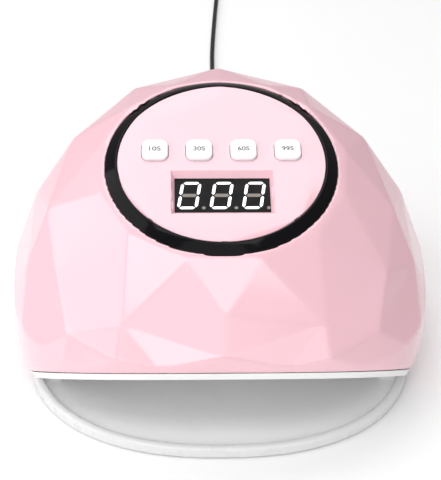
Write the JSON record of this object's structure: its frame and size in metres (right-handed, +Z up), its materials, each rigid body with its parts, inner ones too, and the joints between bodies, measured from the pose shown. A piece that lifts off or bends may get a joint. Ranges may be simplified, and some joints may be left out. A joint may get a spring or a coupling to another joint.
{
  "type": "uv led nail lamp",
  "caption": "Faceted dome nail-curing lamp with tilted round timer panel, digital display, push buttons, slide-out tray and power adapter on a coiled cord.",
  "frame": {"origin": "centre of the lamp's footprint on the table, cord left out", "axes": "+Z up; -Y towards the hand opening; +X to the right as seen from the opening"},
  "size_m": [0.2486, 0.5685, 0.1254],
  "materials": {
    "shell_pink": "glossy pale pink ABS",
    "liner_white": "white ABS",
    "ring_black": "piano black",
    "button_white": "semi-gloss white",
    "display_black": "black display face",
    "segment_white": "lit segment",
    "segment_grey": "unlit segment",
    "switch_black": "moulded black",
    "board_green": "solder mask",
    "board_white": "white solder mask",
    "led_lens": "clear lens",
    "sensor_black": "dark filter",
    "lead_white": "wire jacket",
    "screw_steel": "zinc plated",
    "magnet": "nickel plated",
    "rubber_grey": "soft grey",
    "tray_white": "white ABS",
    "tray_sheet": "satin light grey sheet",
    "cord_black": "PVC jacket",
    "tie_black": "hook and loop strap",
    "adapter_black": "fine texture",
    "prong_brass": "plated blades"
  },
  "bodies": {
    "housing": {"outer_shell": "shell_pink", "control_panel": "shell_pink", "inner_liner": "liner_white", "bottom_frame": "liner_white", "frame_screws": "screw_steel", "housing_magnets": "magnet", "housing_feet": "rubber_grey", "control_ring": "ring_black", "tact_switches": "switch_black", "display_module": "display_black", "display_segments_lit": "segment_white", "display_segments_dim": "segment_grey", "control_board": "board_green", "board_screws": "screw_steel", "led_board_roof": "board_white", "led_board_left": "board_white", "led_board_right": "board_white", "led_board_rear": "board_white", "leds_roof": "led_lens", "leds_left": "led_lens", "leds_right": "led_lens", "leds_rear": "led_lens", "hand_sensor": "sensor_black", "board_leads": "lead_white", "dc_jack": "switch_black", "dc_plug": "cord_black", "plug_relief": "cord_black", "power_cord": "cord_black", "cord_coil": "cord_black", "cord_tie": "tie_black", "cord_tail": "cord_black", "adapter_relief": "cord_black", "power_adapter": "adapter_black", "adapter_prongs": "prong_brass"},
    "button_10s": {"button_10s": "button_white"},
    "button_30s": {"button_30s": "button_white"},
    "button_60s": {"button_60s": "button_white"},
    "button_99s": {"button_99s": "button_white"},
    "tray": {"base_tray": "tray_white", "tray_plate": "tray_sheet", "tray_feet": "rubber_grey", "tray_magnets": "magnet"}
  },
  "joints": [
    {"name": "tray_slide", "type": "slide", "parent": "housing", "child": "tray", "axis": [0, -1, 0], "range_m": [0, 0.18]},
    {"name": "press_10s", "type": "slide", "parent": "housing", "child": "button_10s", "axis": [0, 0.2334, -0.9724], "range_m": [0, 0.0008], "stiffness_N_per_m": 1500, "springref_m": -0.0004},
    {"name": "press_30s", "type": "slide", "parent": "housing", "child": "button_30s", "axis": [0, 0.2334, -0.9724], "range_m": [0, 0.0008], "stiffness_N_per_m": 1500, "springref_m": -0.0004},
    {"name": "press_60s", "type": "slide", "parent": "housing", "child": "button_60s", "axis": [0, 0.2334, -0.9724], "range_m": [0, 0.0008], "stiffness_N_per_m": 1500, "springref_m": -0.0004},
    {"name": "press_99s", "type": "slide", "parent": "housing", "child": "button_99s", "axis": [0, 0.2334, -0.9724], "range_m": [0, 0.0008], "stiffness_N_per_m": 1500, "springref_m": -0.0004}
  ]
}
